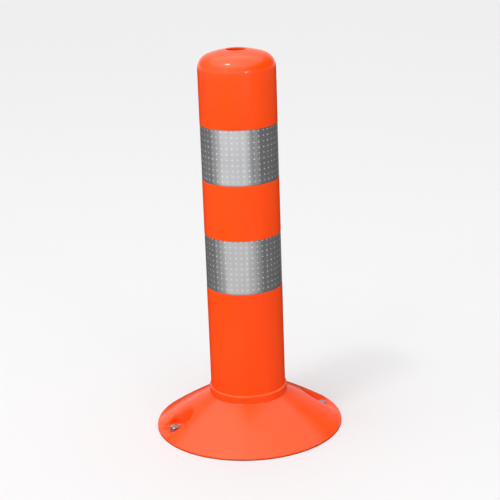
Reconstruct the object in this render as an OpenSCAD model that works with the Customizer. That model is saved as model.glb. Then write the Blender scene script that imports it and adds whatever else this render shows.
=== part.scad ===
// Flexible delineator post: a domed tube with two reflective bands, seated on a
// conical base that two anchor bolts hold to the road.
// Origin: centre of the base's underside, on the road. +Z is up, +X points along the anchor bolts.

/* [Post] */
// Height of the post, from the road to the lip of its top hole
post_h = 407.5; // [335:0.5:490]
// Outer diameter of the tube
tube_d = 80; // [66:1:96]
// Wall of the tube
tube_wall = 4; // [3:0.5:5]
// Outer radius of the domed top's crown
crown_r = 93; // [75:1:115]
// Outer radius that rounds the dome into the tube
knuckle_r = 15.5; // [12:0.5:19]
// Diameter of the hole in the top
top_hole_d = 20; // [12:1:30]
// Bevel on the lip of the top hole
top_hole_bevel = 0.8; // [0.4:0.1:1.5]

/* [Reflective bands] */
// Height of each band's recess
band_h = 58; // [40:0.5:70]
// Plain tube between the bending zones and the lower recess
band_clear_h = 4.7; // [2:0.1:12]
// Share of the remaining plain tube that lies between the two recesses, the rest being above them
band_gap_share = 0.507; // [0.4:0.001:0.6]
// Depth of each recess
band_recess = 0.6; // [0.5:0.05:1]
// Thickness of the reflective film
film_t = 0.35; // [0.2:0.05:0.4]
// Width of the butt joint between the film's two ends
film_seam_w = 0.8; // [0.4:0.1:2]

/* [Base] */
// Diameter of the base
base_d = 200; // [166:1:240]
// Height of the base's upright rim
rim_h = 2; // [1.5:0.1:2.4]
// Width of the solid ring behind the rim
rim_w = 7; // [5:0.5:10]
// Height at which the cone meets the neck
cone_top_z = 36.8; // [32:0.1:40]
// Rise of the cone's outline above a straight slope
cone_bulge = 1.2; // [0:0.1:2]
// Upright thickness of the cone's shell
shell_t = 4.5; // [3.5:0.1:6]
// Height of the neck's top face, on which the tube sits
neck_top_z = 45; // [42:0.5:52]
// Step between the tube and the wider neck
neck_step = 1.7; // [1:0.1:3]
// Height of the bevel above the neck, where the tube narrows
shoulder_h = 4; // [2:0.5:5]
// Wall of the neck around the tube's spigot
neck_wall = 4.5; // [3.5:0.1:6]
// Number of radial ribs under the base
rib_count = 16; // [8:2:20]
// Thickness of the ribs
rib_t = 3; // [2:0.1:4]
// Distance of the ring rib from the rim
ring_rib_inset = 27; // [20:1:32]

/* [Anchors] */
// Distance from the rim to each anchor bolt's axis
anchor_inset = 16; // [13:0.5:18]
// Half the width of each anchor pocket's floor
pocket_r = 13.5; // [11:0.5:14]
// Distance from the bolt's axis up the slope to the centre of the pocket's round end
pocket_reach = 3; // [2:0.5:5]
// Outward slope of the pocket's walls, in degrees
pocket_draft = 10; // [5:1:15]
// Height of the pocket's floor
pocket_floor_z = 2.5; // [2:0.1:6]
// Wall between each pocket and the hollow under the base
pocket_wall = 3; // [2:0.1:4]
// Diameter of the anchor bolt's shank
anchor_d = 6; // [5:0.5:8]
// Width of the anchor bolt's head across its flats
anchor_af = 10; // [9:0.5:13]
// Height of the anchor bolt's head
anchor_head_h = 4; // [3:0.1:6]
// Outer diameter of the anchor's washer
washer_d = 12; // [11:0.5:16]
// Thickness of the anchor's washer
washer_t = 1.2; // [1:0.1:2.5]
// Outer diameter of the steel sleeve in the base
sleeve_d = 10; // [8:0.5:11]

/* [Clamp] */
// Height of the hub's lower face, against which the ring pulls
hub_z = 8; // [7:0.5:12]
// Width of the hub's lower face around the spigot
hub_w = 9; // [8:0.5:11]
// Thickness of the clamp ring
ring_t = 3; // [2:0.1:4]
// Wall of the tube's thick spigot
spigot_wall = 12; // [11:0.5:14]
// Number of clamp screws
screw_count = 6; // [3:1:6]
// Diameter of the clamp screws
screw_d = 5; // [4:0.5:6]
// Length of the clamp screws under the head
screw_len = 14; // [12:1:20]
// Diameter of the threaded inserts
insert_d = 7; // [6.5:0.1:8]
// Length of the threaded inserts
insert_len = 10; // [8:0.5:14]

/* [Hidden] */
fit_gap = 0.05;      // radial clearance of pieces that are pressed, glued or screwed in
slip_gap = 0.2;      // radial clearance of pieces that slip in
seat_gap = 0.3;      // clearance where a faced joint must not bottom out
cut = 1;             // how far a cut runs past the face that it opens
arc_steps = 12;      // straight pieces in each rounded outline
bend_ratio = 0.65;   // height of one bending zone to the tube's diameter
foot_land_h = 1;     // straight tube between the shoulder and the bending zone
funnel_ratio = 1.3;  // height to width of the foot's widening bore
ring_inset = 1;      // how far the clamp ring stays inside the hub and outside the spigot's bore
insert_depth = 1;    // how far the inserts sit above the spigot's lower face
$fn = 96;

// Proportions of a screw's button head, to the screw's diameter
head_r_ratio = 0.95;
head_h_ratio = 0.55;
socket_af_ratio = 0.6;
socket_depth_ratio = 0.35;

// Tube and dome
tube_r = tube_d / 2;
bore_r = tube_r - tube_wall;
hole_r = top_hole_d / 2;
lip_r = hole_r + top_hole_bevel;
crown_drop = crown_r - sqrt(pow(crown_r, 2) - pow(lip_r, 2));
crown_centre_z = post_h + crown_drop - crown_r;
knuckle_x = tube_r - knuckle_r;
knuckle_z = crown_centre_z + sqrt(pow(crown_r - knuckle_r, 2) - pow(knuckle_x, 2));
crown_angle = asin(knuckle_x / (crown_r - knuckle_r));

// Bending zones: one above the other, each hinged at its middle, for the two directions of lean,
// and long enough that the inside of a 45 degree bend does not crease.
bend_h = bend_ratio * tube_d;
foot_top_z = neck_top_z + shoulder_h + foot_land_h;
post_low_z = foot_top_z + 2 * bend_h;

// Bands
plain_h = knuckle_z - post_low_z - band_clear_h - 2 * band_h;
band_low_z = post_low_z + band_clear_h;
band_high_z = band_low_z + band_h + band_gap_share * plain_h;
recess_r = tube_r - band_recess;
film_r = recess_r + fit_gap;

// Base and neck
rim_r = base_d / 2;
neck_r = tube_r + neck_step;
spigot_r = neck_r - neck_wall;
neck_bore_r = spigot_r + slip_gap;
spigot_bore_r = spigot_r - spigot_wall;
hub_r = neck_bore_r + hub_w;
anchor_x = rim_r - anchor_inset;
sleeve_bore_r = anchor_d / 2 + slip_gap;
pocket_top_r = pocket_r + (cone_top_z - pocket_floor_z) * tan(pocket_draft);
pad_r = pocket_top_r + pocket_wall;

// Clamp
ring_r = hub_r - ring_inset;
ring_bore_r = spigot_bore_r + ring_inset;
screw_circle_r = spigot_r - spigot_wall / 2;
screw_head_r = head_r_ratio * screw_d;
screw_head_h = head_h_ratio * screw_d;
spigot_z = hub_z + seat_gap;
insert_low_z = spigot_z + insert_depth;

// Outlines, as [radius, height] points

// A point on the cone's outline: 0 at the rim, 1 at the neck
function cone_point(share) = [
    rim_r + (neck_r - rim_r) * share,
    rim_h + (cone_top_z - rim_h) * share + 4 * cone_bulge * share * (1 - share)
];

function cone_outline() = [for (i = [0 : arc_steps]) cone_point(i / arc_steps)];

// The dome's outline, inset by the given depth, from the tube up to the given radius
function dome_outline(inset, end_r) = let(
    crown = crown_r - inset,
    knuckle = knuckle_r - inset,
    end_angle = asin(end_r / crown)
) concat(
    [for (i = [0 : arc_steps]) let(a = i / arc_steps * (90 - crown_angle))
        [knuckle_x + knuckle * cos(a), knuckle_z + knuckle * sin(a)]],
    [for (i = [1 : arc_steps]) let(a = crown_angle + i / arc_steps * (end_angle - crown_angle))
        [crown * sin(a), crown_centre_z + crown * cos(a)]]
);

function reversed(points) = [for (i = [len(points) - 1 : -1 : 0]) points[i]];

// Shared shapes

module tube_piece(outer_r, inner_r, low_z, high_z) {
    translate([0, 0, low_z])
        difference() {
            cylinder(r = outer_r, h = high_z - low_z);
            translate([0, 0, -cut]) cylinder(r = inner_r, h = high_z - low_z + 2 * cut);
        }
}

module hex_head(across_flats, height) {
    corner_r = across_flats / sqrt(3);
    chamfer_h = corner_r - across_flats / 2;
    intersection() {
        cylinder(r = corner_r, h = height, $fn = 6);
        union() {
            cylinder(r = corner_r + cut, h = height - chamfer_h);
            translate([0, 0, height - chamfer_h])
                cylinder(r1 = corner_r, r2 = across_flats / 2, h = chamfer_h);
        }
    }
}

// Puts its children on the left (-1) or the right (1) anchor's axis, with +X outward
module at_anchor(side) {
    mirror([side < 0 ? 1 : 0, 0, 0]) translate([anchor_x, 0, 0]) children();
}

// Puts its children on one clamp screw's axis
module at_screw(number) {
    rotate([0, 0, (number - 0.5) * 360 / screw_count])
        translate([screw_circle_r, 0, 0]) children();
}

// Base

module base_envelope() {
    rotate_extrude()
        polygon(concat([[0, 0], [rim_r, 0]], cone_outline(), [[neck_r, neck_top_z], [0, neck_top_z]]));
}

// Pairs of opposite ribs, each cut as one bar across the whole base
module radial_ribs() {
    for (i = [1 : rib_count / 2])
        rotate([0, 0, (i - 0.5) * 360 / rib_count])
            translate([-rim_r, -rib_t / 2, -2 * shell_t])
                cube([base_d, rib_t, post_h]);
}

module ring_rib() {
    inner_r = rim_r - ring_rib_inset;
    tube_piece(inner_r + rib_t, inner_r, -2 * shell_t, neck_top_z);
}

// A trough with a round inner end, open outward, whose walls lean out
module pocket() {
    depth = cone_top_z - pocket_floor_z;
    translate([-pocket_reach, 0, pocket_floor_z]) {
        cylinder(r1 = pocket_r, r2 = pocket_top_r, h = depth);
        rotate([90, 0, 90])
            linear_extrude(height = pocket_reach + anchor_inset + cut)
                polygon([[-pocket_r, 0], [pocket_r, 0], [pocket_top_r, depth], [-pocket_top_r, depth]]);
    }
}

// The cells under the cone, between the hub, the rim, the ribs and the solid pads below the pockets
module under_hollow() {
    difference() {
        intersection() {
            rotate_extrude()
                polygon([
                    [0, -shell_t], [rim_r, -shell_t], [rim_r, rim_h - shell_t],
                    [neck_r, cone_top_z - shell_t], [0, cone_top_z - shell_t]
                ]);
            tube_piece(rim_r - rim_w, hub_r + rib_t, -shell_t, neck_top_z);
        }
        radial_ribs();
        ring_rib();
        for (side = [-1, 1])
            at_anchor(side) translate([-pocket_reach, 0, -2 * shell_t]) cylinder(r = pad_r, h = neck_top_z);
    }
}

module base() {
    color("orangered")
        difference() {
            base_envelope();
            under_hollow();
            for (side = [-1, 1])
                at_anchor(side) {
                    pocket();
                    translate([0, 0, -cut]) cylinder(r = sleeve_d / 2 + fit_gap, h = neck_top_z);
                }
            translate([0, 0, -cut]) cylinder(r = neck_bore_r, h = neck_top_z + 2 * cut);
            translate([0, 0, -cut]) cylinder(r = hub_r, h = hub_z + cut);
        }
}

// Post

module tube_foot() {
    color("orangered")
        difference() {
            rotate_extrude()
                polygon([
                    [0, spigot_z], [spigot_r, spigot_z], [spigot_r, neck_top_z], [neck_r, neck_top_z],
                    [tube_r, neck_top_z + shoulder_h], [tube_r, foot_top_z], [0, foot_top_z]
                ]);
            translate([0, 0, spigot_z - cut]) cylinder(r = spigot_bore_r, h = post_h);
            funnel();
            for (i = [1 : screw_count])
                at_screw(i) {
                    translate([0, 0, spigot_z - cut]) cylinder(r = screw_d / 2 + slip_gap, h = screw_len);
                    translate([0, 0, insert_low_z])
                        cylinder(r = insert_d / 2 + fit_gap, h = insert_len + cut);
                }
        }
}

// The foot's bore widens upward from the spigot's bore to the tube's
module funnel() {
    depth = (bore_r - spigot_bore_r) * funnel_ratio;
    translate([0, 0, foot_top_z - depth])
        cylinder(r1 = spigot_bore_r, r2 = bore_r, h = depth);
}

module flex_neck() {
    color("orangered") tube_piece(tube_r, bore_r, foot_top_z, post_low_z);
}

module band_recess(low_z) {
    tube_piece(tube_r + cut, recess_r, low_z, low_z + band_h);
}

module post_tube() {
    color("orangered")
        difference() {
            rotate_extrude()
                polygon(concat(
                    [[tube_r, post_low_z]], dome_outline(0, lip_r), [[hole_r, post_h - top_hole_bevel]],
                    reversed(dome_outline(tube_wall, hole_r)), [[bore_r, post_low_z]]
                ));
            band_recess(band_low_z);
            band_recess(band_high_z);
        }
}

module film_band(low_z) {
    color("silver")
        difference() {
            tube_piece(film_r + film_t, film_r, low_z + seat_gap, low_z + band_h - seat_gap);
            translate([-film_seam_w / 2, 0, low_z]) cube([film_seam_w, tube_d, band_h]);
        }
}

module lower_reflective_band() {
    film_band(band_low_z);
}

module upper_reflective_band() {
    film_band(band_high_z);
}

// Clamp

module clamp_ring() {
    color("gainsboro")
        difference() {
            tube_piece(ring_r, ring_bore_r, hub_z - ring_t, hub_z);
            for (i = [1 : screw_count])
                at_screw(i) cylinder(r = screw_d / 2 + slip_gap, h = hub_z + cut);
        }
}

module clamp_screw(number) {
    socket_r = socket_af_ratio * screw_d / sqrt(3);
    color("silver")
        at_screw(number)
            translate([0, 0, hub_z - ring_t])
                difference() {
                    union() {
                        translate([0, 0, -screw_head_h]) cylinder(r = screw_head_r, h = screw_head_h);
                        cylinder(r = screw_d / 2, h = screw_len);
                    }
                    translate([0, 0, -screw_head_h - cut])
                        cylinder(r = socket_r, h = socket_depth_ratio * screw_d + cut, $fn = 6);
                }
}

module threaded_insert(number) {
    color("goldenrod")
        at_screw(number)
            tube_piece(insert_d / 2, screw_d / 2 + fit_gap, insert_low_z, insert_low_z + insert_len);
}

// Anchors

module anchor_bolt(side) {
    color("lightgray")
        at_anchor(side) {
            translate([0, 0, seat_gap])
                cylinder(r = anchor_d / 2, h = pocket_floor_z + washer_t - seat_gap);
            translate([0, 0, pocket_floor_z + washer_t]) hex_head(anchor_af, anchor_head_h);
        }
}

module anchor_washer(side) {
    color("silver")
        at_anchor(side)
            tube_piece(washer_d / 2, sleeve_bore_r, pocket_floor_z, pocket_floor_z + washer_t);
}

module anchor_sleeve(side) {
    color("darkgray")
        at_anchor(side) tube_piece(sleeve_d / 2, sleeve_bore_r, 0, pocket_floor_z);
}

base();
tube_foot();
flex_neck();
post_tube();
lower_reflective_band();
upper_reflective_band();
clamp_ring();
for (i = [1 : screw_count]) {
    clamp_screw(i);
    threaded_insert(i);
}
anchor_bolt(-1);  // anchor_bolt_left
anchor_bolt(1);  // anchor_bolt_right
anchor_washer(-1);  // anchor_washer_left
anchor_washer(1);  // anchor_washer_right
anchor_sleeve(-1);  // anchor_sleeve_left
anchor_sleeve(1);  // anchor_sleeve_right
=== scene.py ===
from math import asin, cos, hypot, pi, radians, sin, sqrt, tan

import bmesh
import bpy
from mathutils import Matrix, Vector


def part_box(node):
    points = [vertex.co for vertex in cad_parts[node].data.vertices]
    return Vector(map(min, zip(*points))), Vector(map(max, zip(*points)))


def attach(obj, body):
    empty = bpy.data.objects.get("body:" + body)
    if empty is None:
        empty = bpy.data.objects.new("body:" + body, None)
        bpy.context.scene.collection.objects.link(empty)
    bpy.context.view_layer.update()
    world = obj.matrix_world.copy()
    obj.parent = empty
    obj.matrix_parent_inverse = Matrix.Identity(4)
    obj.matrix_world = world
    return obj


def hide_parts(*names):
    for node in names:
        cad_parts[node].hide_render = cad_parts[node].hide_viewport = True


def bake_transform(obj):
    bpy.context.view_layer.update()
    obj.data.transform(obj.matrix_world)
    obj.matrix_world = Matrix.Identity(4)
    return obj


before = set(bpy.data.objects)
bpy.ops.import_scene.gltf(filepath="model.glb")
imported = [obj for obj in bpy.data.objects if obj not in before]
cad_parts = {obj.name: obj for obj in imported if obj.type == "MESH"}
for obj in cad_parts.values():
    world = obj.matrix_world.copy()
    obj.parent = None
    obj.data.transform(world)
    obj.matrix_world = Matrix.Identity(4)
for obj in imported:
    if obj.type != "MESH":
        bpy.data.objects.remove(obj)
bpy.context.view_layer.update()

MM = 0.001

# Sizes of the frame that the visual pieces follow, in metres
BASE_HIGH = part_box("base")[1]
FOOT_LOW, FOOT_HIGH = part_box("tube_foot")
FLEX_LOW, FLEX_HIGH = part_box("flex_neck")
POST_LOW, POST_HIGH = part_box("post_tube")
BAND_NODES = ("lower_reflective_band", "upper_reflective_band")
BAND_BOXES = [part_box(node) for node in BAND_NODES]
BOLT_LOW, BOLT_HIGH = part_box("anchor_bolt_right")
SLEEVE_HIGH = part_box("anchor_sleeve_right")[1]

RIM_R = BASE_HIGH[0]
NECK_TOP_Z = BASE_HIGH[2]
NECK_R = FOOT_HIGH[0]
TUBE_R = FLEX_HIGH[0]
TUBE_WALL = 4 * MM
BORE_R = TUBE_R - TUBE_WALL
SPIGOT_Z = FOOT_LOW[2]
NECK_WALL = 4.5 * MM
SPIGOT_WALL = 12 * MM
SPIGOT_GAP = 0.2 * MM
SPIGOT_R = NECK_R - NECK_WALL
SPIGOT_BORE_R = SPIGOT_R - SPIGOT_WALL
NECK_BORE_R = SPIGOT_R + SPIGOT_GAP
SPIGOT_ROUND = 0.5 * MM
FUNNEL_H = 14 * MM
FUNNEL_TOP_ROUND = 4 * MM
FUNNEL_FOOT_ROUND = 3 * MM
SHOULDER_Z = NECK_TOP_Z + 0.7 * MM
SHOULDER_ROUND = 0.5 * MM
FOOT_TOP_Z = FOOT_HIGH[2]
BEND_MIDDLE_Z = (FLEX_LOW[2] + FLEX_HIGH[2]) / 2
POST_LOW_Z = POST_LOW[2]
TOP_Z = POST_HIGH[2]

# Cone of the base
RIM_H = 2 * MM
CONE_TOP_Z = 36.8 * MM
CONE_BULGE = 1.2 * MM
NECK_ROUND = 0.8 * MM
SEAM_ROUND = 0.3 * MM
LIP_ROUND = 0.45 * MM
RIM_CHAMFER = 0.6 * MM
RIM_ROUND = 0.5 * MM
RIM_FOOT_ROUND = 0.9 * MM
RIM_LAND = 2 * MM
NECK_STEP = 0.8 * MM
CONE_START_R = NECK_R + 6 * MM
CONE_ROWS = 110

# Anchor pockets
ANCHOR_X = (BOLT_LOW[0] + BOLT_HIGH[0]) / 2
POCKET_X = ANCHOR_X - 3 * MM
POCKET_R = 13.5 * MM
POCKET_FLOOR_Z = SLEEVE_HIGH[2]
POCKET_SLOPE = 1 / tan(radians(10))
POCKET_EDGE = 4.5 * MM
POCKET_FLOOR_EDGE = 4.0 * MM
POCKET_EDGE_SHARE = 0.8
POCKET_LEAST_EDGE = 0.05 * MM
RELAX_STEPS = 5
RELAX_MARGIN = 1.5 * MM
RELAX_START_R = NECK_R + 8 * MM
RELAX_LOW_Z = 0.75 * POCKET_FLOOR_Z
POCKET_HALF_TURN = radians(22)
POCKET_COLUMNS = 150
PLAIN_COLUMNS = 80

# Faces of the CAD base that the moulded skin stands for
RIM_FACE = 0.3 * MM
NECK_FACE = 0.5 * MM
NECK_FACE_LOW_Z = CONE_TOP_Z - 1 * MM
LEAST_UPWARD = 0.05

# Dome of the post
CROWN_R = 93 * MM
KNUCKLE_R = 15.5 * MM
HOLE_R = 10 * MM
HOLE_BEVEL = 0.8 * MM
DOME_STEPS = 14
CROWN_DROP = CROWN_R - sqrt(CROWN_R ** 2 - (HOLE_R + HOLE_BEVEL) ** 2)
CROWN_Z = TOP_Z + CROWN_DROP - CROWN_R
KNUCKLE_X = TUBE_R - KNUCKLE_R
KNUCKLE_Z = CROWN_Z + sqrt((CROWN_R - KNUCKLE_R) ** 2 - KNUCKLE_X ** 2)
CROWN_ANGLE = asin(KNUCKLE_X / (CROWN_R - KNUCKLE_R))

# Bands
BAND_RECESS = 0.6 * MM
BAND_SEAT = 0.3 * MM
RECESS_MARGIN = 2 * MM
RECESS_DRAFT = 0.1 * MM
RECESS_LOW_ROUND = 0.45 * MM
RECESS_FLOOR_ROUND = 0.12 * MM
RECESS_HIGH_ROUND = 0.2 * MM
FILM_T = 0.35 * MM
FILM_ROUND = 0.12 * MM
FILM_SEAM_W = 0.8 * MM
FILM_ROW = 3 * MM
CELL_PITCH = 5.75 * MM
EDGE_LINE = 0.9 * MM
# Turn at which the film's painted retroreflection is brightest, on the camera's side; it repeats every
# third of a turn.
FILM_PAINTED_GLOW_TURN = radians(-116)

# Sky: where each part of it lies, and how bright it is
SKY_COLOUR = (0.83, 0.83, 0.835, 1.0)
KEY_TOWARD = (-0.66, -0.59, 0.46)
KEY_STRENGTH = 1.0
OVERHEAD_STRENGTH = 1.45
BEHIND_TOWARD = (0.30, 0.92, 0.24)
BEHIND_STRENGTH = 0.42
UPPER_STRENGTH = 0.08
FILL_STRENGTH = 0.24
LOWER_STRENGTH = 0.45
HAZE_STRENGTH = 0.66

# Floor
FLOOR_HOLE_R = RIM_R - 4 * MM
FLOOR_HOLE_Z = -0.5 * MM
FLOOR_RIM_Z = -0.05 * MM
FLOOR_NEAR_R = 0.4
FLOOR_R = 60.0
CARD_R = 3.0
CARD_Z = -4 * MM

# Camera
CAMERA_AZIMUTH = radians(-17.5)
CAMERA_PITCH = radians(17.49)
CAMERA_ROLL = radians(-2.04)
CAMERA_AIM = (0.0067, -0.0021, 0.1949)
CAMERA_DISTANCE = 1.467
CAMERA_LENS = 100.44

# How finely round shapes are drawn, and how much of a side a rounded corner may take
ROUND_STEPS = 6
SIDE_SHARE = 0.48
AROUND = 192
RING_STEP = 2 * MM
SOFT_EDGE = 0.25 * MM


# Meshes

def new_object(name, verts, faces, sharp_degrees=35):
    mesh = bpy.data.meshes.new(name)
    mesh.from_pydata(verts, [], faces)
    mesh.validate()
    mesh.shade_smooth()
    mesh.set_sharp_from_angle(angle=radians(sharp_degrees))
    obj = bpy.data.objects.new(name, mesh)
    bpy.context.scene.collection.objects.link(obj)
    return obj


def lerp(a, b, share):
    return tuple(p + (q - p) * share for p, q in zip(a, b))


def rounded(points, radii):
    """The outline with its inner corners rounded, a radius for each point."""
    result = [points[0]]
    for before, corner, after, radius in zip(points, points[1:], points[2:], radii[1:]):
        if radius <= 0:
            result.append(corner)
            continue
        to_before = Vector(before) - Vector(corner)
        to_after = Vector(after) - Vector(corner)
        half = to_before.angle(to_after) / 2
        longest = min(to_before.length, to_after.length) * SIDE_SHARE
        reach = min(radius / tan(half), longest)
        start = Vector(corner) + to_before.normalized() * reach
        end = Vector(corner) + to_after.normalized() * reach
        for step in range(ROUND_STEPS + 1):
            share = step / ROUND_STEPS
            first = start.lerp(Vector(corner), share)
            second = Vector(corner).lerp(end, share)
            result.append(tuple(first.lerp(second, share)))
    result.append(points[-1])
    return result


def divided(points, longest):
    """The outline with every straight piece cut into equal lengths of about the given one."""
    result = [points[0]]
    for a, b in zip(points, points[1:]):
        count = max(1, round(hypot(b[0] - a[0], b[1] - a[1]) / longest))
        result += [lerp(a, b, step / count) for step in range(1, count + 1)]
    return result


def lathe(name, points):
    """A turned surface through (radius, height) points, about the Z axis."""
    verts = []
    for radius, height in points:
        for k in range(AROUND):
            turn = 2 * pi * k / AROUND
            verts.append((radius * cos(turn), radius * sin(turn), height))
    faces = []
    for i in range(len(points) - 1):
        for k in range(AROUND):
            n = (k + 1) % AROUND
            faces.append((i * AROUND + k, i * AROUND + n, (i + 1) * AROUND + n, (i + 1) * AROUND + k))
    return new_object(name, verts, faces)


def arc(centre, radius, start, end):
    """Points on a circle, by their angles from straight up."""
    angles = [start + (end - start) * k / DOME_STEPS for k in range(DOME_STEPS + 1)]
    return [(centre[0] + radius * sin(a), centre[1] + radius * cos(a)) for a in angles]


# Post

def dome(inset, end_r):
    """The dome's outline from the tube up to the given radius, that deep under the outer face."""
    end_angle = asin(end_r / (CROWN_R - inset))
    knuckle = arc((KNUCKLE_X, KNUCKLE_Z), KNUCKLE_R - inset, pi / 2, CROWN_ANGLE)
    crown = arc((0, CROWN_Z), CROWN_R - inset, CROWN_ANGLE, end_angle)
    return knuckle + crown[1:]


def recess_outline(box):
    """The recess that a band lies in, with soft corners, from its lower to its upper edge."""
    low = box[0][2] - BAND_SEAT
    high = box[1][2] + BAND_SEAT
    floor_r = TUBE_R - BAND_RECESS
    points = [
        (TUBE_R, low - RECESS_MARGIN), (TUBE_R, low), (floor_r, low + RECESS_DRAFT),
        (floor_r, high - RECESS_DRAFT), (TUBE_R, high), (TUBE_R, high + RECESS_MARGIN)
    ]
    radii = [0, RECESS_LOW_ROUND, RECESS_FLOOR_ROUND, RECESS_FLOOR_ROUND, RECESS_HIGH_ROUND, 0]
    return rounded(points, radii)


def make_post():
    outer = [(TUBE_R, BEND_MIDDLE_Z), (TUBE_R, POST_LOW_Z)]
    for box in BAND_BOXES:
        outer += recess_outline(box)
    outer = divided(outer, RING_STEP) + dome(0, HOLE_R + HOLE_BEVEL)
    lip = [(HOLE_R, TOP_Z - HOLE_BEVEL)]
    inner = list(reversed(dome(TUBE_WALL, HOLE_R)))
    inside = divided([(BORE_R, KNUCKLE_Z), (BORE_R, BEND_MIDDLE_Z)], RING_STEP)
    post = lathe("post_shell", outer + lip + inner + inside[1:])
    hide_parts("post_tube", "flex_neck")
    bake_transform(post)
    return post


def make_foot():
    corners = [
        (BORE_R, BEND_MIDDLE_Z), (BORE_R, FOOT_TOP_Z), (SPIGOT_BORE_R, FOOT_TOP_Z - FUNNEL_H),
        (SPIGOT_BORE_R, SPIGOT_Z), (SPIGOT_R, SPIGOT_Z), (SPIGOT_R, NECK_TOP_Z),
        (NECK_R, NECK_TOP_Z), (TUBE_R, SHOULDER_Z), (TUBE_R, BEND_MIDDLE_Z)
    ]
    radii = [
        0, FUNNEL_TOP_ROUND, FUNNEL_FOOT_ROUND, SPIGOT_ROUND, SPIGOT_ROUND,
        0, SEAM_ROUND, SHOULDER_ROUND, 0
    ]
    foot = lathe("flexible_foot", divided(rounded(corners, radii), RING_STEP))
    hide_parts("tube_foot")
    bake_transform(foot)
    return foot


# Bands

def band_columns(radius):
    """The turns of the film's columns, from one side of its seam at the back to the other."""
    half = FILM_SEAM_W / 2 / radius
    return [pi / 2 + half + (2 * pi - 2 * half) * k / AROUND for k in range(AROUND + 1)]


def edge_shade_mask(height, low, high):
    """1 along the film's cut edges, where shade is painted, and 0 on its face."""
    return 1.0 if min(height - low, high - height) < EDGE_LINE / 2 else 0.0


def make_band(node, box):
    low, high = box[0][2], box[1][2]
    outer_r = box[1][0]
    inner_r = outer_r - FILM_T
    middle = (outer_r, (low + high) / 2)
    corners = [
        middle, (outer_r, high - EDGE_LINE), (outer_r, high), (inner_r, high),
        (inner_r, low), (outer_r, low), (outer_r, low + EDGE_LINE), middle
    ]
    radii = [0, 0, FILM_ROUND, FILM_ROUND, FILM_ROUND, FILM_ROUND, 0, 0]
    section = divided(rounded(corners, radii), FILM_ROW)[:-1]
    turns = band_columns(outer_r)
    count = len(section)
    verts = [(r * cos(t), r * sin(t), z) for t in turns for r, z in section]
    faces = []
    for c in range(len(turns) - 1):
        for k in range(count):
            n = (k + 1) % count
            faces.append((c * count + k, (c + 1) * count + k, (c + 1) * count + n, c * count + n))
    faces.append(tuple(range(count)))
    faces.append(tuple(reversed(range((len(turns) - 1) * count, len(turns) * count))))
    film = new_object(node + "_film", verts, faces)
    # Marks the film's cut edges, where the material paints shade.
    painted_edge_shade = film.data.attributes.new("painted_edge_shade", "FLOAT", "POINT")
    painted_edge_shade.data.foreach_set("value", [edge_shade_mask(z, low, high) for _, _, z in verts])
    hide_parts(node)
    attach(film, "post")
    return film


# Base

def cone_z(radius):
    share = (RIM_R - radius) / (RIM_R - NECK_R)
    return RIM_H + (CONE_TOP_Z - RIM_H) * share + 4 * CONE_BULGE * share * (1 - share)


def soft_min(a, b, blend):
    gap = max(blend - abs(a - b), 0)
    return min(a, b) - gap * gap / blend / 4


def pocket_z(x, y):
    """The height of the pocket's walls and floor at a point, on either side of the base."""
    inward = max(POCKET_X - abs(x), 0)
    wall = (hypot(inward, y) - POCKET_R) * POCKET_SLOPE
    return POCKET_FLOOR_Z - soft_min(-wall, 0, POCKET_FLOOR_EDGE)


def top_z(x, y, z):
    """A point of the cone, let down where a pocket cuts it."""
    pocket = pocket_z(x, y)
    if z <= POCKET_FLOOR_Z or pocket > z + POCKET_EDGE:
        return z
    blend = max(min(POCKET_EDGE, (z - POCKET_FLOOR_Z) * POCKET_EDGE_SHARE), POCKET_LEAST_EDGE)
    return max(soft_min(z, pocket, blend), POCKET_FLOOR_Z)


def base_turns():
    """The turns of the base's columns: close together across the pockets, wide between them."""
    half = POCKET_HALF_TURN
    fine = [k / POCKET_COLUMNS * 2 * half - half for k in range(POCKET_COLUMNS + 1)]
    coarse = [half + k / PLAIN_COLUMNS * (pi - 2 * half) for k in range(1, PLAIN_COLUMNS)]
    one_side = fine + coarse
    return one_side + [turn + pi for turn in one_side]


def base_rows():
    """The base's rows from its neck to its foot: radius, height, and whether a pocket can cut it."""
    neck = rounded(
        [
            (NECK_BORE_R, NECK_TOP_Z), (NECK_R, NECK_TOP_Z),
            (NECK_R, CONE_TOP_Z), (CONE_START_R, cone_z(CONE_START_R))
        ],
        [0, LIP_ROUND, NECK_ROUND, 0]
    )
    rows = [(r, z, False) for r, z in divided(neck, NECK_STEP)]
    end_r = RIM_R - RIM_CHAMFER
    for k in range(1, CONE_ROWS + 1):
        radius = CONE_START_R + (end_r - CONE_START_R) * k / CONE_ROWS
        rows.append((radius, cone_z(radius), True))
    rim = rounded(
        [(end_r, cone_z(end_r)), (RIM_R, RIM_H), (RIM_R, 0), (RIM_R - RIM_LAND, 0)],
        [0, RIM_ROUND, RIM_FOOT_ROUND, 0]
    )
    return rows + [(r, z, False) for r, z in rim[1:]]


def make_base_skin():
    """The points and faces of the base's outer side."""
    rows = base_rows()
    turns = base_turns()
    count = len(turns)
    verts = []
    for radius, height, cut in rows:
        for turn in turns:
            x, y = radius * cos(turn), radius * sin(turn)
            verts.append((x, y, top_z(x, y, height) if cut else height))
    faces = []
    for i in range(len(rows) - 1):
        for k in range(count):
            n = (k + 1) % count
            faces.append((i * count + k, (i + 1) * count + k, (i + 1) * count + n, i * count + n))
    return verts, faces


def relax_pockets(skin):
    """Evens out the pockets' edges, which cross the skin's rows and columns at an angle."""
    work = bmesh.new()
    work.from_mesh(skin.data)
    near = [v for v in work.verts if v.co.z > RELAX_LOW_Z and in_pocket(v.co)]
    for _ in range(RELAX_STEPS):
        bmesh.ops.smooth_vert(
            work, verts=near, factor=0.5, use_axis_x=True, use_axis_y=True, use_axis_z=True
        )
    work.to_mesh(skin.data)
    work.free()


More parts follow.
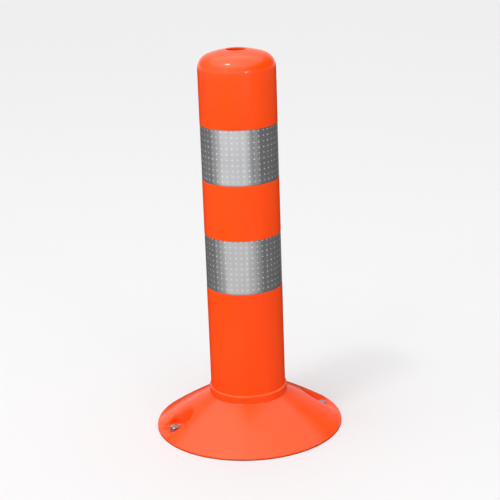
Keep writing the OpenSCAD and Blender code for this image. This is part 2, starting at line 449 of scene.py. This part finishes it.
def in_pocket(point):
    """Whether a point of the skin lies in a pocket or just outside its edge."""
    inward = max(POCKET_X - abs(point.x), 0)
    radius = hypot(point.x, point.y)
    reach = POCKET_R + max(cone_z(radius) - POCKET_FLOOR_Z, 0) / POCKET_SLOPE
    return radius > RELAX_START_R and hypot(inward, point.y) < reach + RELAX_MARGIN


def outer_face(centre, normal):
    """Whether a face of the CAD base is one that the moulded skin stands for."""
    radius = hypot(centre.x, centre.y)
    on_rim = radius > RIM_R - RIM_FACE
    on_neck = abs(radius - NECK_R) < NECK_FACE and centre.z > NECK_FACE_LOW_Z
    return normal.z > LEAST_UPWARD or on_rim or on_neck


def make_underside():
    """The CAD base without its outer faces: cells, ribs, hub and bores."""
    inner = bmesh.new()
    inner.from_mesh(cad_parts["base"].data)
    spare = [f for f in inner.faces if outer_face(f.calc_center_median(), f.normal)]
    bmesh.ops.delete(inner, geom=spare, context="FACES")
    rest = bpy.data.meshes.new("base_underside")
    inner.to_mesh(rest)
    inner.free()
    rest.shade_smooth()
    rest.set_sharp_from_angle(angle=radians(30))
    under = bpy.data.objects.new("base_underside", rest)
    bpy.context.scene.collection.objects.link(under)
    return under


def make_base():
    verts, faces = make_base_skin()
    skin = new_object("base_moulding", verts, faces, 50)
    relax_pockets(skin)
    under = make_underside()
    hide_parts("base")
    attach(skin, "mounting")
    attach(under, "mounting")
    return skin, under


# Anchors and clamp

def soften(obj, width):
    """Rounds the sharp edges of a CAD node, whose mesh stays as it is."""
    bevel = obj.modifiers.new("soft_edges", "BEVEL")
    bevel.width = width
    bevel.segments = 3
    bevel.limit_method = "ANGLE"
    bevel.angle_limit = radians(28)
    bevel.harden_normals = False


# Materials

class Shader:
    """A node material with a Principled surface, and short names for the nodes that it needs."""

    def __init__(self, name):
        self.material = bpy.data.materials.new(name)
        self.material.use_nodes = True
        self.tree = self.material.node_tree
        self.surface = self.tree.nodes["Principled BSDF"]

    def node(self, kind, **settings):
        made = self.tree.nodes.new(kind)
        for key, value in settings.items():
            setattr(made, key, value)
        return made

    def link(self, source, target):
        self.tree.links.new(source, target)

    def put(self, socket, value):
        if isinstance(value, bpy.types.NodeSocket):
            self.link(value, socket)
        else:
            socket.default_value = value

    def math(self, operation, a, b=0.0):
        made = self.node("ShaderNodeMath", operation=operation)
        self.put(made.inputs[0], a)
        self.put(made.inputs[1], b)
        return made.outputs[0]

    def place(self):
        return self.node("ShaderNodeTexCoord").outputs["Object"]

    def noise(self, place, scale, detail=3.0, rough=0.5):
        made = self.node("ShaderNodeTexNoise")
        self.put(made.inputs["Vector"], place)
        made.inputs["Scale"].default_value = scale
        made.inputs["Detail"].default_value = detail
        made.inputs["Roughness"].default_value = rough
        return made.outputs["Fac"]

    def cell_noise(self, column, row):
        """A random value for each cell of a grid."""
        join = self.node("ShaderNodeCombineXYZ")
        self.link(self.math("FLOOR", column), join.inputs[0])
        self.link(self.math("FLOOR", row), join.inputs[1])
        made = self.node("ShaderNodeTexWhiteNoise", noise_dimensions="2D")
        self.link(join.outputs[0], made.inputs["Vector"])
        return made.outputs["Value"]

    def stretched(self, place, scale):
        made = self.node("ShaderNodeMapping")
        self.put(made.inputs["Vector"], place)
        made.inputs["Scale"].default_value = scale
        return made.outputs[0]

    def ramp(self, value, low, high, out_low=0.0, out_high=1.0):
        made = self.node("ShaderNodeMapRange")
        self.put(made.inputs["Value"], value)
        made.inputs["From Min"].default_value = low
        made.inputs["From Max"].default_value = high
        made.inputs["To Min"].default_value = out_low
        made.inputs["To Max"].default_value = out_high
        return made.outputs[0]

    def mix(self, factor, a, b):
        made = self.node("ShaderNodeMix", data_type="RGBA")
        self.put(made.inputs["Factor"], factor)
        self.put(made.inputs[6], a)
        self.put(made.inputs[7], b)
        return made.outputs[2]

    def bump(self, height, strength, distance, normal=None):
        made = self.node("ShaderNodeBump")
        self.put(made.inputs["Height"], height)
        made.inputs["Strength"].default_value = strength
        made.inputs["Distance"].default_value = distance
        if normal is not None:
            self.link(normal, made.inputs["Normal"])
        return made.outputs[0]

    def sharp_edge_mask(self, radius):
        """Near 1 along sharp edges, 0 on flat faces."""
        bevel = self.node("ShaderNodeBevel", samples=4)
        bevel.inputs["Radius"].default_value = radius
        geometry = self.node("ShaderNodeNewGeometry")
        dot = self.node("ShaderNodeVectorMath", operation="DOT_PRODUCT")
        self.link(bevel.outputs[0], dot.inputs[0])
        self.link(geometry.outputs["Normal"], dot.inputs[1])
        return self.ramp(dot.outputs["Value"], 0.995, 0.90)

    def set(self, name, value):
        self.put(self.surface.inputs[name], value)


def tint(red, green, blue):
    """A linear colour from 0-255 display values."""
    def linear(value):
        share = value / 255
        return share / 12.92 if share <= 0.04045 else ((share + 0.055) / 1.055) ** 2.4
    return (linear(red), linear(green), linear(blue), 1.0)


def polyurethane():
    sh = Shader("orange_polyurethane")
    place = sh.place()
    clouds = sh.noise(place, 9.0, 4.0)
    speckle = sh.noise(place, 420.0, 2.0)
    grain = sh.noise(place, 1600.0, 3.0, 0.6)
    flow = sh.noise(sh.stretched(place, (14.0, 14.0, 3.0)), 3.0, 3.0)
    body = sh.mix(sh.ramp(clouds, 0.3, 0.7), tint(250, 70, 2), tint(254, 76, 4))
    body = sh.mix(sh.ramp(speckle, 0.66, 0.80, 0.0, 0.20), body, tint(214, 58, 10))
    # Painted highlight: sharp edges such as the neck's lip and the rim are lightened to stand for the
    # light lines they catch. The same mask also roughens them a little, as real wear.
    edge_mark = sh.math("MULTIPLY", sh.sharp_edge_mask(0.0008), sh.ramp(speckle, 0.30, 0.55, 0.4, 1.0))
    body = sh.mix(sh.math("MULTIPLY", edge_mark, 0.45), body, tint(255, 150, 95))
    # Painted shade: the colour turns dark brown over the lowest 1.3 mm, standing for the contact shadow
    # along the rim's foot.
    height = sh.node("ShaderNodeSeparateXYZ")
    sh.link(place, height.inputs[0])
    contact_shade = sh.ramp(height.outputs["Z"], 0.0013, 0.0004)
    body = sh.mix(sh.math("MULTIPLY", contact_shade, 0.8), body, tint(104, 42, 24))
    sh.set("Base Color", body)
    dull = sh.math("ADD", sh.ramp(flow, 0.3, 0.7, 0.17, 0.25), sh.ramp(grain, 0.3, 0.7, -0.02, 0.02))
    sh.set("Roughness", sh.math("ADD", dull, sh.math("MULTIPLY", edge_mark, 0.15)))
    sh.set("IOR", 1.5)
    sh.set("Specular IOR Level", 0.45)
    waves = sh.bump(flow, 0.18, 0.0006)
    sh.link(sh.bump(grain, 0.10, 0.00008, waves), sh.surface.inputs["Normal"])
    return sh.material


def film():
    """Retroreflective film: a square grid of small bright dots between soft grey cells."""
    sh = Shader("prismatic_film")
    place = sh.place()
    parts = sh.node("ShaderNodeSeparateXYZ")
    sh.link(place, parts.inputs[0])
    turn = sh.math("ARCTAN2", parts.outputs["Y"], parts.outputs["X"])
    cells = round(2 * pi * TUBE_R / CELL_PITCH)
    turn_cells = sh.math("MULTIPLY", sh.math("ADD", turn, 2 * pi), cells / (2 * pi))
    height_cells = sh.math("DIVIDE", parts.outputs["Z"], CELL_PITCH)
    across = sh.math("FRACT", turn_cells)
    along = sh.math("FRACT", height_cells)
    dx = sh.math("SUBTRACT", across, 0.5)
    dz = sh.math("SUBTRACT", along, 0.5)
    far = sh.math("SQRT", sh.math("ADD", sh.math("MULTIPLY", dx, dx), sh.math("MULTIPLY", dz, dz)))
    lit = sh.cell_noise(turn_cells, height_cells)
    dot = sh.math("MULTIPLY", sh.ramp(far, 0.175, 0.11), sh.ramp(lit, 0.0, 1.0, 0.45, 1.0))
    cell_edge = sh.ramp(sh.math("MAXIMUM", sh.math("ABSOLUTE", dx), sh.math("ABSOLUTE", dz)), 0.44, 0.50)
    streak = sh.noise(sh.stretched(place, (60.0, 60.0, 1.5)), 2.2, 3.0)
    patch = sh.noise(place, 26.0, 3.0)
    prisms = sh.node("ShaderNodeTexVoronoi")
    sh.put(prisms.inputs["Vector"], place)
    prisms.inputs["Scale"].default_value = 900.0
    # Painted reflection: the grey lightens in three broad lobes around the film, one facing the camera's
    # side, and along the streaks, standing for the film's retroreflection. The streaks also vary the
    # roughness.
    third = sh.math("COSINE", sh.math("MULTIPLY", sh.math("SUBTRACT", turn, FILM_PAINTED_GLOW_TURN), 3.0))
    painted_glow = sh.ramp(sh.math("ADD", third, sh.ramp(streak, 0.3, 0.7, -0.35, 0.35)), -0.5, 0.7)
    grey = sh.mix(painted_glow, tint(104, 105, 106), tint(206, 207, 208))
    grey = sh.mix(sh.ramp(patch, 0.35, 0.7, 0.0, 0.25), grey, tint(150, 148, 150))
    grey = sh.mix(sh.ramp(prisms.outputs["Distance"], 0.2, 0.7, 0.0, 0.10), grey, tint(225, 226, 228))
    grey = sh.mix(sh.math("MULTIPLY", cell_edge, 0.10), grey, tint(110, 110, 112))
    face = sh.mix(sh.math("MULTIPLY", dot, 0.85), grey, tint(246, 247, 248))
    # Painted shade: the film's cut edges turn dark grey, standing for the thin shadow lines where the
    # recess's lips meet them.
    edge_shade = sh.node("ShaderNodeAttribute", attribute_name="painted_edge_shade").outputs["Fac"]
    sh.set("Base Color", sh.mix(sh.math("MULTIPLY", edge_shade, 0.6), face, tint(70, 66, 64)))
    sh.set("Metallic", 0.35)
    sh.set("Roughness", sh.ramp(streak, 0.3, 0.7, 0.30, 0.42))
    sh.set("Coat Weight", 0.5)
    sh.set("Coat Roughness", 0.12)
    height = sh.math("ADD", sh.math("MULTIPLY", dot, 0.6), sh.math("MULTIPLY", cell_edge, -0.5))
    raised = sh.bump(height, 0.35, 0.00012)
    sh.link(sh.bump(prisms.outputs["Distance"], 0.12, 0.0001, raised), sh.surface.inputs["Normal"])
    return sh.material


def metal(name, light, dark, rough, grain_scale, spots=None):
    sh = Shader(name)
    place = sh.place()
    clouds = sh.noise(place, 160.0, 4.0)
    grain = sh.noise(place, grain_scale, 3.0, 0.6)
    colour = sh.mix(sh.ramp(clouds, 0.3, 0.7), dark, light)
    if spots is not None:
        colour = sh.mix(sh.ramp(sh.noise(place, 520.0, 2.0), 0.62, 0.74, 0.0, 0.55), colour, spots)
    edge_mark = sh.sharp_edge_mask(0.0003)
    sh.set("Base Color", sh.mix(sh.math("MULTIPLY", edge_mark, 0.5), colour, light))
    sh.set("Metallic", 1.0)
    sh.set("Roughness", sh.ramp(grain, 0.25, 0.75, rough, rough + 0.16))
    sh.link(sh.bump(grain, 0.15, 0.00005), sh.surface.inputs["Normal"])
    return sh.material


def galvanised():
    """Zinc in large flat crystals, some lighter than others."""
    sh = Shader("galvanised_steel")
    place = sh.place()
    crystals = sh.node("ShaderNodeTexVoronoi")
    sh.put(crystals.inputs["Vector"], place)
    crystals.inputs["Scale"].default_value = 260.0
    tone = sh.node("ShaderNodeSeparateColor")
    sh.link(crystals.outputs["Color"], tone.inputs[0])
    grain = sh.noise(place, 2400.0, 3.0, 0.6)
    sh.set("Base Color", sh.mix(tone.outputs[0], tint(150, 153, 156), tint(196, 199, 203)))
    sh.set("Metallic", 1.0)
    dull = sh.ramp(tone.outputs[1], 0.0, 1.0, 0.30, 0.46)
    sh.set("Roughness", sh.math("ADD", dull, sh.ramp(grain, 0.3, 0.7, -0.04, 0.04)))
    sh.link(sh.bump(grain, 0.12, 0.00005), sh.surface.inputs["Normal"])
    return sh.material


def pale_floor():
    sh = Shader("pale_floor")
    clouds = sh.noise(sh.place(), 1.5, 2.0)
    sh.set("Base Color", sh.mix(clouds, (0.662, 0.662, 0.664, 1.0), (0.672, 0.672, 0.674, 1.0)))
    sh.set("Roughness", 0.9)
    sh.set("Specular IOR Level", 0.1)
    return sh.material


def dark_card():
    """What the gloss shows instead of the bright floor, so that the edges keep their colour."""
    sh = Shader("dark_card")
    sh.set("Base Color", (0.0, 0.0, 0.0, 1.0))
    sh.set("Specular IOR Level", 0.0)
    sh.set("Emission Color", (1.0, 0.9, 0.85, 1.0))
    sh.set("Emission Strength", 0.03)
    return sh.material


def assign(obj, material):
    obj.data.materials.clear()
    obj.data.materials.append(material)


def dress(obj, material):
    assign(obj, material)


def dress_nodes(material, names):
    for name in names:
        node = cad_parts[name]
        if not node.material_slots:
            node.data.materials.append(material)
        for held in node.material_slots:
            held.material = material


# Floor, light and camera

def make_floor():
    """A wide pale disc, left out of the gloss, and open below the base to show its underside."""
    dip = [(FLOOR_HOLE_R, FLOOR_HOLE_Z), (RIM_R, FLOOR_RIM_Z)]
    floor = lathe("floor", dip + [(FLOOR_NEAR_R, 0), (CARD_R, 0), (FLOOR_R, 0)])
    assign(floor, pale_floor())
    floor.visible_glossy = False
    card = lathe("dark_card", [(FLOOR_HOLE_R, CARD_Z), (FLOOR_NEAR_R, CARD_Z), (CARD_R, CARD_Z)])
    assign(card, dark_card())
    card.visible_camera = False
    card.visible_diffuse = False
    card.visible_shadow = False


def sky_ramp(tree, value, low, high, strength):
    ramp = tree.nodes.new("ShaderNodeMapRange")
    ramp.interpolation_type = "SMOOTHSTEP"
    tree.links.new(value, ramp.inputs["Value"])
    ramp.inputs["From Min"].default_value = low
    ramp.inputs["From Max"].default_value = high
    ramp.inputs["To Max"].default_value = strength
    return ramp.outputs[0]


def sky_lobe(tree, direction, toward, low, high, strength):
    """Light that grows from nothing to its full strength as the sky turns to one direction."""
    dot = tree.nodes.new("ShaderNodeVectorMath")
    dot.operation = "DOT_PRODUCT"
    tree.links.new(direction, dot.inputs[0])
    dot.inputs[1].default_value = Vector(toward).normalized()
    return sky_ramp(tree, dot.outputs["Value"], low, high, strength)


def sky_sum(tree, a, b):
    total = tree.nodes.new("ShaderNodeMath")
    total.operation = "ADD"
    for socket, value in zip(total.inputs, (a, b)):
        if isinstance(value, float):
            socket.default_value = value
        else:
            tree.links.new(value, socket)
    return total.outputs[0]


def sky_height(tree, direction):
    """How far the sky is from the horizon, above or below it."""
    parts = tree.nodes.new("ShaderNodeSeparateXYZ")
    tree.links.new(direction, parts.inputs[0])
    size = tree.nodes.new("ShaderNodeMath")
    size.operation = "ABSOLUTE"
    tree.links.new(parts.outputs["Z"], size.inputs[0])
    return size.outputs[0]


def make_world():
    """A soft pale sky, brightest at the front left and overhead, and paler along the horizon."""
    world = bpy.data.worlds.new("soft_studio")
    world.use_nodes = True
    tree = world.node_tree
    background = tree.nodes["Background"]
    direction = tree.nodes.new("ShaderNodeTexCoord").outputs["Generated"]
    key = sky_lobe(tree, direction, KEY_TOWARD, 0.0, 0.95, KEY_STRENGTH)
    overhead = sky_lobe(tree, direction, (0, 0, 1), 0.58, 0.70, OVERHEAD_STRENGTH)
    behind = sky_lobe(tree, direction, BEHIND_TOWARD, 0.68, 0.98, BEHIND_STRENGTH)
    upper = sky_sum(tree, sky_sum(tree, key, overhead), sky_sum(tree, behind, UPPER_STRENGTH))
    horizon = sky_lobe(tree, direction, (0, 0, 1), -0.22, 0.02, 1.0)
    above = tree.nodes.new("ShaderNodeMath")
    above.operation = "MULTIPLY"
    tree.links.new(upper, above.inputs[0])
    tree.links.new(horizon, above.inputs[1])
    below = sky_lobe(tree, direction, (0, 0, -1), 0.0, 0.25, LOWER_STRENGTH)
    haze = sky_ramp(tree, sky_height(tree, direction), 0.12, 0.02, HAZE_STRENGTH)
    left = (-cos(CAMERA_AZIMUTH), -sin(CAMERA_AZIMUTH), 0)
    fill = sky_lobe(tree, direction, left, -0.8, 0.3, FILL_STRENGTH)
    light = sky_sum(tree, sky_sum(tree, above.outputs[0], fill), sky_sum(tree, below, haze))
    tree.links.new(light, background.inputs["Strength"])
    background.inputs["Color"].default_value = SKY_COLOUR
    bpy.context.scene.world = world


def make_softbox(name, toward, distance, size, power):
    """A small soft light that shines on the dome from one direction, and isn't seen itself."""
    light = bpy.data.lights.new(name, "AREA")
    light.shape = "RECTANGLE"
    light.size, light.size_y = size
    light.energy = power
    obj = bpy.data.objects.new(name, light)
    direction = Vector(toward).normalized()
    obj.location = Vector((0, 0, KNUCKLE_Z)) + direction * distance
    obj.rotation_euler = direction.to_track_quat("Z", "Y").to_euler()
    obj.visible_camera = False
    bpy.context.scene.collection.objects.link(obj)


def make_softboxes():
    make_softbox(
        "upper_left_softbox", toward=(-0.42, -0.23, 0.88), distance=2.0, size=(0.26, 0.16), power=8.0
    )
    make_softbox("left_strip", toward=(-0.72, -0.60, 0.34), distance=2.2, size=(0.16, 1.6), power=2.0)
    make_softbox(
        "front_softbox", toward=(0.18, -0.98, 0.04), distance=2.2, size=(0.10, 0.22), power=3.5
    )


def make_camera():
    """The camera, turned about the post's axis from a view along +Y, and looking down on it."""
    level = cos(CAMERA_PITCH)
    toward = Vector((sin(CAMERA_AZIMUTH) * level, -cos(CAMERA_AZIMUTH) * level, sin(CAMERA_PITCH)))
    camera = bpy.data.cameras.new("camera")
    camera.lens = CAMERA_LENS
    camera.sensor_width = 36
    camera.clip_end = 50
    obj = bpy.data.objects.new("camera", camera)
    facing = toward.to_track_quat("Z", "Y").to_matrix().to_4x4()
    place = Matrix.Translation(Vector(CAMERA_AIM) + toward * CAMERA_DISTANCE)
    obj.matrix_world = place @ facing @ Matrix.Rotation(CAMERA_ROLL, 4, "Z")
    bpy.context.scene.collection.objects.link(obj)
    bpy.context.scene.camera = obj


def build():
    orange = polyurethane()
    zinc = metal(
        "zinc_plated_steel", tint(196, 198, 202), tint(138, 140, 146), 0.24, 900.0, tint(104, 104, 110)
    )
    brass = metal("brass", tint(226, 190, 120), tint(196, 158, 92), 0.25, 1200.0)
    hot_dip = galvanised()
    for piece in (make_post(), make_foot()) + make_base():
        dress(piece, orange)
    reflective = film()
    for node, box in zip(BAND_NODES, BAND_BOXES):
        dress(make_band(node, box), reflective)
    fasteners = [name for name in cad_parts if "bolt" in name or "washer" in name or "screw" in name]
    inserts = [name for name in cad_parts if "insert" in name]
    steel = [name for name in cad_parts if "sleeve" in name or name == "clamp_ring"]
    dress_nodes(zinc, fasteners)
    dress_nodes(brass, inserts)
    dress_nodes(hot_dip, steel)
    for name in fasteners + steel:
        soften(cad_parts[name], SOFT_EDGE)


build()
make_floor()
make_world()
make_softboxes()
make_camera()
bpy.context.scene.view_settings.view_transform = "Standard"
